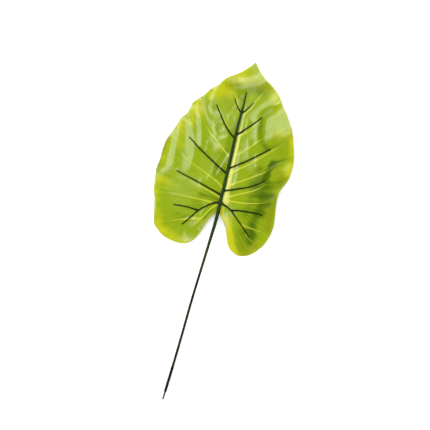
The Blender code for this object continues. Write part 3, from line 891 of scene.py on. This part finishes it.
@dataclass
class Blade:
    """The printed, pressed sheet with its raised veins and waved margin."""

    form: BladeForm
    finish: BladeFinish = BladeFinish()
    upper_rows: int = 196
    lobe_rows: int = 60
    columns: int = 84
    margin_step: float = 0.5
    middle_step: float = 1.0
    parts: int = 8

    def half_grid(self, side: Side) -> tuple[np.ndarray, np.ndarray]:
        """Lay a grid over one half of the blade's plan.

        Rows run level from the outer margin to the inner one, which is the middle line
        above the notch and the lobe's inner margin below it. Lobe rows draw together towards
        the lobe's end along a cosine, so that its round end stays round.

        Args:
            side: The half to cover.

        Returns:
            The grid's points, and its faces as rows of four point numbers.
        """
        margin = LEFT_MARGIN if side is Side.LEFT else RIGHT_MARGIN
        margin = smooth_path(margin, self.margin_step)
        lowest = int(margin[:, 1].argmin())
        outer, inner = margin[:lowest + 1], margin[lowest:]
        middle = smooth_path(MIDLINE, self.middle_step)
        tip, notch, end = middle[0, 1], middle[-1, 1], margin[lowest, 1]
        upper = np.linspace(tip, notch, self.upper_rows)
        turn = np.linspace(0, np.pi / 2, self.lobe_rows)
        lobe = notch + (end - notch) * np.sin(turn)
        upper_inner = np.interp(-upper, -middle[:, 1], middle[:, 0])
        lobe_inner = np.interp(lobe, inner[:, 1], inner[:, 0])
        y = np.concatenate([upper, lobe[1:]])
        from_x = np.interp(-y, -outer[:, 1], outer[:, 0])
        to_x = np.concatenate([upper_inner, lobe_inner[1:]])
        share = np.linspace(0, 1, self.columns)
        x = from_x[:, None] + (to_x - from_x)[:, None] * share
        points = np.stack([x, np.broadcast_to(y[:, None], x.shape)], axis=-1)
        faces = grid_faces(x.size, self.columns)
        if side is Side.RIGHT:
            faces = faces[:, ::-1]
        return points.reshape(-1, 2), faces

    def plan(self) -> tuple[np.ndarray, list[tuple[int, ...]]]:
        """Join the two halves' grids along the middle line.

        Returns:
            The plan's points, and its faces, turned anticlockwise seen from above.
        """
        left, left_faces = self.half_grid(Side.LEFT)
        right, right_faces = self.half_grid(Side.RIGHT)
        points = np.vstack([left, right])
        faces = np.vstack([left_faces, right_faces + len(left)])[:, ::-1]
        keys, index = np.unique(np.round(points, 3), axis=0, return_inverse=True)
        joined = index.reshape(-1)[faces]
        kept = []
        for face in joined.tolist():
            corners = tuple(dict.fromkeys(face))
            if len(corners) > 2:
                kept.append(corners)
        return keys, kept

    @staticmethod
    def upright(points: np.ndarray, faces: list[tuple[int, ...]]) -> np.ndarray:
        """Give the upward part of a surface's normal at each of its points."""
        probe = bpy.data.meshes.new("probe")
        probe.from_pydata(points.tolist(), [], faces)
        normals = np.empty(3 * len(points), dtype=np.float32)
        probe.vertex_normals.foreach_get("vector", normals)
        bpy.data.meshes.remove(probe)
        return np.abs(normals[2::3])

    @staticmethod
    def rim(faces: list[tuple[int, ...]]) -> list[tuple[int, int]]:
        """Find the edges that only one face uses, in that face's own direction."""
        edges = {(start, end) for face in faces
                 for start, end in zip(face, face[1:] + face[:1])}
        return [edge for edge in edges if edge[::-1] not in edges]

    def pattern(self, plan: np.ndarray) -> dict[str, np.ndarray]:
        """Work out what the print reads at each point.

        Args:
            plan: Points in plan, one row each.

        Returns:
            Named values: nearness to veins, band and margin, the tint and olive, which hold
                painted shade and sheen along with print, and the painted sheen.
        """
        outline = (*LEFT_MARGIN[:-1], *RIGHT_MARGIN[::-1])
        parts = np.array_split(plan, self.parts)
        margin = np.concatenate([nearest_on(outline, part)[0] for part in parts])
        edge, strength = np.full(len(plan), VEIN_FAR), np.zeros(len(plan))
        for vein in VEINS:
            away, fade = vein.print_over(plan)
            nearer = away < edge
            edge, strength = np.where(nearer, away, edge), np.where(nearer, fade, strength)
        band_edge, band_print = MIDRIB_BAND.print_over(plan)
        tint_with_painted_light = sum(mark.over(plan) for mark in TINTS_WITH_PAINTED_LIGHT)
        olive_with_painted_shade = sum(mark.over(plan) for mark in OLIVES_WITH_PAINTED_SHADE)
        painted_sheen = sum(mark.over(plan) for mark in PAINTED_SHEENS)
        return {"margin_distance": margin, "vein_edge": edge, "vein_print": strength,
                "band_edge": band_edge, "band_print": band_print, "tint_with_painted_light": tint_with_painted_light,
                "olive_with_painted_shade": olive_with_painted_shade, "painted_sheen": painted_sheen}

    @staticmethod
    def flow(plan: np.ndarray) -> np.ndarray:
        """Follow the fine veins over the blade.

        A fine vein is a straight line from its start s up the midrib, or from the hub for s
        below it, at the angle that the table gives for s. The vein through a point is found
        by halving the range of s, since the point lies above every vein of lower s.

        Args:
            plan: Points in plan, one row each.

        Returns:
            The distance run along the vein, the vein's start, and the half of the blade.
        """
        middle = np.array(MIDLINE)
        x = plan[:, 0] - np.interp(-plan[:, 1], -middle[:, 1], middle[:, 0])
        low, high = (np.full(len(x), end) for end in FLOW_RANGE)
        for _ in range(FLOW_HALVINGS):
            start = (low + high) / 2
            angle = np.radians(np.interp(start, FLOW_STARTS, FLOW_ANGLES))
            climb = plan[:, 1] - np.maximum(start, 0.0)
            above = np.cos(angle) * climb - np.sin(angle) * np.abs(x) > 0
            low, high = np.where(above, start, low), np.where(above, high, start)
        return np.column_stack([np.hypot(x, climb), start, HALVES_APART * np.sign(x)])

    def build(self) -> bpy.types.Object:
        """Build the closed sheet, dress it and put it in place of the plain solid.

        Returns:
            The blade.
        """
        plan, faces = self.plan()
        printed = self.pattern(plan)
        middle = self.form.middle(plan)
        upright = self.upright(np.column_stack([plan, middle]), faces)
        half = self.form.half_thickness(printed["margin_distance"], upright)
        top = np.column_stack([plan, middle + half])
        under = np.column_stack([plan, np.maximum(middle - half, 0.0)])
        count = len(plan)
        loops = list(faces)
        loops += [tuple(count + corner for corner in reversed(face)) for face in faces]
        loops += [(end, start, count + start, count + end) for start, end in self.rim(faces)]
        sheet = Surface(np.vstack([top, under]), loops)
        item = sheet.place("blade_sheet", self.finish.make())
        printed["below"] = np.zeros(count)
        for name, values in printed.items():
            both = np.concatenate([values, values if name != "below" else np.ones(count)])
            store = item.data.attributes.new(name, "FLOAT", "POINT")
            store.data.foreach_set("value", both.astype(np.float32))
        flow = np.tile(self.flow(plan), (2, 1))
        store = item.data.attributes.new("flow", "FLOAT_VECTOR", "POINT")
        store.data.foreach_set("vector", flow.astype(np.float32).ravel())
        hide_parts("blade")
        return item


@dataclass
class RibFrame:
    """The moulded frame that lies on the blade: midrib, side ribs, hub and stem socket."""

    form: BladeForm
    finish: MouldedFinish = MouldedFinish(
        "moulded_green_black", (0.017, 0.036, 0.008), (0.028, 0.052, 0.014), 0.36)
    side_finish: MouldedFinish = MouldedFinish(
        "moulded_dark_green", (0.006, 0.018, 0.0), (0.014, 0.032, 0.001), 0.40)
    side_radii: tuple[float, float] = (1.65, 1.05)
    short_points: int = 4
    short_share: float = 0.75
    root_flare: float = 0.8
    flare_length: float = 5.0
    end_length: float = 2.5
    flatness: float = 0.82
    sunk: float = 0.12
    step: float = 1.5
    smoothed: int = 5
    around: int = 14
    wide_around: int = 24
    hub_centre: tuple[float, float] = (-0.2, -1.5)
    hub_radii: tuple[float, float, float] = (5.4, 5.0, 3.6)
    hub_gap: float = 0.3
    hub_rings: int = 17
    socket: Points = (
        (0, 3.3), (18, 3.6), (30, 3.65), (50, 3.4), (70, 3.1), (90, 2.85), (110, 2.75),
        (143, 2.7), (145.4, 2.6), (146, 2.2), (146, 1.8), (100, 1.8))

    def laid(self, line: Points, radii: Sequence[float], flare: float, name: str,
             finish: bpy.types.Material) -> bpy.types.Object:
        """Lay one rib along a line on the blade.

        Its half width follows radii, grows by flare at the root as exp(-run / length), and
        closes over its last end_length half widths as a quarter circle does.

        Args:
            line: The rib's line in plan, from its root.
            radii: Half its width at each of the line's points.
            flare: Extra half width at the root.
            name: The object's name.
            finish: Its material.

        Returns:
            The rib.
        """
        plan = smooth_path(line, self.step)
        run = run_along(plan)
        wide = np.interp(run, run_along(np.asarray(line, dtype=float)), radii)
        wide = wide + flare * np.exp(-run / self.flare_length)
        wide = wide * round_end(
            np.clip((run[-1] - run) / (self.end_length * wide[-1]), 0.0, 1.0))
        tall = wide * self.flatness
        level = self.form.top(plan)
        kernel = np.ones(self.smoothed) / self.smoothed
        level = np.pad(level, self.smoothed // 2, mode="edge")
        level = np.convolve(level, kernel, mode="valid")
        path = np.column_stack([plan, level + tall * (1 - self.sunk)])
        return sweep(path, wide, tall, self.around).place(name, finish)

    def hub(self, height: float, finish: bpy.types.Material) -> bpy.types.Object:
        """Make the flattened knot where the ribs meet.

        Args:
            height: Height of its middle.
            finish: Its material.

        Returns:
            The hub, an oval turned about its long axis.
        """
        turn = np.linspace(-np.pi / 2, np.pi / 2, self.hub_rings + 2)[1:-1]
        path = np.column_stack([
            self.hub_centre[0] + 0 * turn,
            self.hub_centre[1] + self.hub_radii[1] * np.sin(turn), height + 0 * turn])
        wide = self.hub_radii[0] * np.cos(turn)
        tall = self.hub_radii[2] * np.cos(turn)
        return sweep(path, wide, tall, self.wide_around).place("hub", finish)

    def hub_height(self) -> float:
        """Give the height of the hub's middle over the blade."""
        return float(self.form.top(np.array([self.hub_centre]))[0]
                     + self.hub_gap + self.hub_radii[2])

    def build(self, stem_path: np.ndarray) -> list[bpy.types.Object]:
        """Build the frame's pieces in place of the plain solid.

        Args:
            stem_path: The stem's middle line from the hub.

        Returns:
            The pieces.
        """
        finish, side_finish = self.finish.make(), self.side_finish.make()
        pieces = [self.laid(MIDRIB, MIDRIB_RADII, 0.0, "midrib", finish)]
        for number, line in enumerate(SIDE_RIBS, start=1):
            radii = np.linspace(*self.side_radii, len(line))
            if len(line) == self.short_points:
                radii = radii * self.short_share
            pieces.append(self.laid(
                line, radii, self.root_flare, f"side_rib_{number:02d}", side_finish))
        pieces.append(self.hub(float(stem_path[0, 2]), finish))
        socket = turned(stem_path, rounded(self.socket), self.wide_around)
        pieces.append(socket.place("socket", finish))
        for piece in pieces:
            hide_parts("rib_frame")
        return pieces


@dataclass
class Stem:
    """The stem below the socket: its cover, its foot and the wire inside them."""

    end_height: float = 2.0
    bore: float = 1.8
    wire_radius: float = 1.55
    cover: tuple[float, float] = (146.3, 341.4)
    foot: tuple[float, float] = (341.7, 395.5)
    foot_step: float = 1.5
    wire: tuple[float, float] = (10.3, 411.5)
    wire_end: float = 1.0
    around: int = 24
    wire_around: int = 16
    cover_finish: MouldedFinish = MouldedFinish(
        "stem_cover", (0.005, 0.018, 0.0), (0.013, 0.032, 0.001), 0.45, 500.0)
    foot_finish: MouldedFinish = MouldedFinish(
        "stem_foot_cover", (0.005, 0.010, 0.0), (0.013, 0.020, 0.003), 0.55, 350.0)
    wire_finish: WireFinish = WireFinish()

    def path(self, hub_height: float) -> np.ndarray:
        """Give the stem's middle line, falling evenly from the hub to its end.

        Args:
            hub_height: Height of the line at the hub.

        Returns:
            The line's points, one row of three values each.
        """
        plan = smooth_path(STEM_LINE, LINE_STEP)
        run = run_along(plan)
        height = np.interp(run, [0, run[-1]], [hub_height, self.end_height])
        return np.column_stack([plan, height])

    def build(self, path: np.ndarray) -> list[bpy.types.Object]:
        """Build the cover, the foot and the wire in place of the plain solids.

        Args:
            path: The stem's middle line.

        Returns:
            The three pieces.
        """
        start, end = self.cover
        cover = rounded((
            (start, 2.3), (start + 0.5, 2.5), (220, 2.5), (end - 0.5, 2.45), (end, 2.25),
            (end, self.bore), (start, self.bore)))
        start, end = self.foot
        foot = rounded((
            (start, 2.4), (start + 0.5, 2.6), (344, 2.82), (346.5, 2.85), (348.5, 2.78),
            (351, 2.65), (389, 2.6), (end - 1.5, 2.5), (end - 0.2, 2.3), (end, 2.05),
            (end, self.bore), (start, self.bore)), self.foot_step)
        start, end = self.wire
        last = end - self.wire_end
        stations = np.concatenate([np.arange(start, last, LINE_STEP),
                                   last + self.wire_end * np.linspace(0, 1, 6)])
        run = run_along(path)
        line = along(path, run, stations)
        left = np.clip((end - stations) / self.wire_end, 0, 1)
        radius = self.wire_radius * round_end(left)
        pieces = [
            (turned(path, cover, self.around), "stem_cover", self.cover_finish,
             "stem_coat", "coat_plastic"),
            (turned(path, foot, self.around), "foot_cover", self.foot_finish,
             "stem_foot", "foot_plastic"),
            (sweep(line, radius, radius, self.wire_around), "core_wire", self.wire_finish,
             "stem_wire", "wire_steel")]
        made = []
        for surface, name, finish, node, slot in pieces:
            item = surface.place(name, finish.make())
            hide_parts(node)
            made.append(item)
        return made


@dataclass(frozen=True)
class Lamp:
    """A rectangular light that faces the blade's middle.

    The azimuth is in degrees from the picture's right, anticlockwise seen from above, and
    the elevation in degrees above the floor. Distance and size are in metres, and the
    power is in watts.
    """

    name: str
    azimuth: float
    elevation: float
    distance: float
    size: tuple[float, float]
    power: float

    def hang(self, lean: float) -> bpy.types.Object:
        """Hang the light.

        Args:
            lean: Degrees by which the picture is turned against the leaf.

        Returns:
            The light.
        """
        data = bpy.data.lights.new(self.name, "AREA")
        data.shape = "RECTANGLE"
        data.size, data.size_y = self.size
        data.energy = self.power
        item = linked(self.name, data)
        turn, rise = np.radians(self.azimuth + lean), np.radians(self.elevation)
        level = np.cos(rise)
        offset = Vector((level * np.cos(turn), level * np.sin(turn), np.sin(rise)))
        item.location = Vector(LIGHT_AIM) + offset * self.distance
        item.rotation_euler = offset.to_track_quat("Z", "Y").to_euler()
        return item

    def layers(self, count: int) -> list["Lamp"]:
        """Split the light into strips of one brightness, one inside another.

        Their widths are even shares of the whole width, so together they grow dimmer
        towards their long edges.

        Args:
            count: Number of strips.

        Returns:
            The strips, narrowest first.
        """
        shares = np.arange(1, count + 1) / count
        return [replace(self, name=f"{self.name}_{share:.2f}",
                        size=(self.size[0], self.size[1] * share),
                        power=self.power * share / float(shares.sum()))
                for share in shares.tolist()]


@dataclass
class Studio:
    """A plain pale floor, soft light and the camera straight above the leaf."""

    picture_side: float = 0.860
    look_at: tuple[float, float] = (0.0057, 0.0343)
    lean: float = 15.0
    camera_height: float = 3.0
    sensor: float = 36.0
    floor_half: float = 6.0
    floor_drop: float = 0.0002
    floor_colour: Colour = (0.93, 0.93, 0.93)
    floor_cloud: Colour = (0.91605, 0.91605, 0.91605)
    floor_glow: float = 0.18
    world_light: float = 1.2
    key: Lamp = Lamp("key", 140, 60, 2.3, (1.8, 1.8), 22.0)
    strips: tuple[Lamp, ...] = (
        Lamp("left_strip", 157, 63, 2.3, (1.6, 0.95), 34.0),
        Lamp("top_strip", 95, 49, 2.3, (1.7, 0.8), 28.0))
    strip_layers: int = 4

    def floor(self) -> bpy.types.Object:
        """Lay the floor just under the leaf.

        Returns:
            The floor.
        """
        graph = Graph("pale_floor")
        colour = graph.mix(graph.noise(3, 2), self.floor_colour, self.floor_cloud)
        finish = graph.finish(Base_Color=colour, Roughness=0.9,
                              Emission_Color=(1.0, 1.0, 1.0, 1.0),
                              Emission_Strength=self.floor_glow)
        half = self.floor_half
        mesh = bpy.data.meshes.new("floor")
        corners = [(-half, -half), (half, -half), (half, half), (-half, half)]
        mesh.from_pydata([(x, y, -self.floor_drop) for x, y in corners], [], [(0, 1, 2, 3)])
        mesh.materials.append(finish)
        item = linked("floor", mesh)
        return item

    def camera(self) -> bpy.types.Object:
        """Hang the camera over the leaf, turned so that the leaf leans to the right.

        Returns:
            The scene's camera.
        """
        data = bpy.data.cameras.new("camera")
        data.sensor_width = self.sensor
        data.lens = self.sensor * self.camera_height / self.picture_side
        item = linked("camera", data)
        item.location = (*self.look_at, self.camera_height)
        item.rotation_euler = (0.0, 0.0, np.radians(self.lean))
        bpy.context.scene.camera = item
        return item

    def build(self) -> None:
        """Set up floor, camera, world and lights.

        The world and the key light the leaf without glints, and the strips only glint.
        """
        scene = bpy.context.scene
        scene.view_settings.view_transform = "Standard"
        self.floor()
        self.camera()
        world = bpy.data.worlds.new("studio")
        world.use_nodes = True
        background = world.node_tree.nodes["Background"]
        background.inputs["Color"].default_value = (1.0, 1.0, 1.0, 1.0)
        background.inputs["Strength"].default_value = self.world_light
        scene.world = world
        world.cycles_visibility.glossy = False
        self.key.hang(self.lean).visible_glossy = False
        for strip in self.strips:
            for layer in strip.layers(self.strip_layers):
                layer.hang(self.lean).visible_diffuse = False


def main() -> None:
    """Build the stage and the leaf, and put every piece on the model's one body."""
    logging.basicConfig(level=logging.INFO, format="%(message)s")
    Studio().build()
    form = BladeForm()
    ribs = RibFrame(form)
    stem = Stem()
    path = stem.path(ribs.hub_height())
    pieces = [Blade(form).build(), *ribs.build(path), *stem.build(path)]
    for piece in pieces:
        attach(piece, "root")
        LOG.info("%s: %d faces", piece.name, len(piece.data.polygons))


if __name__ == "__main__":
    main()
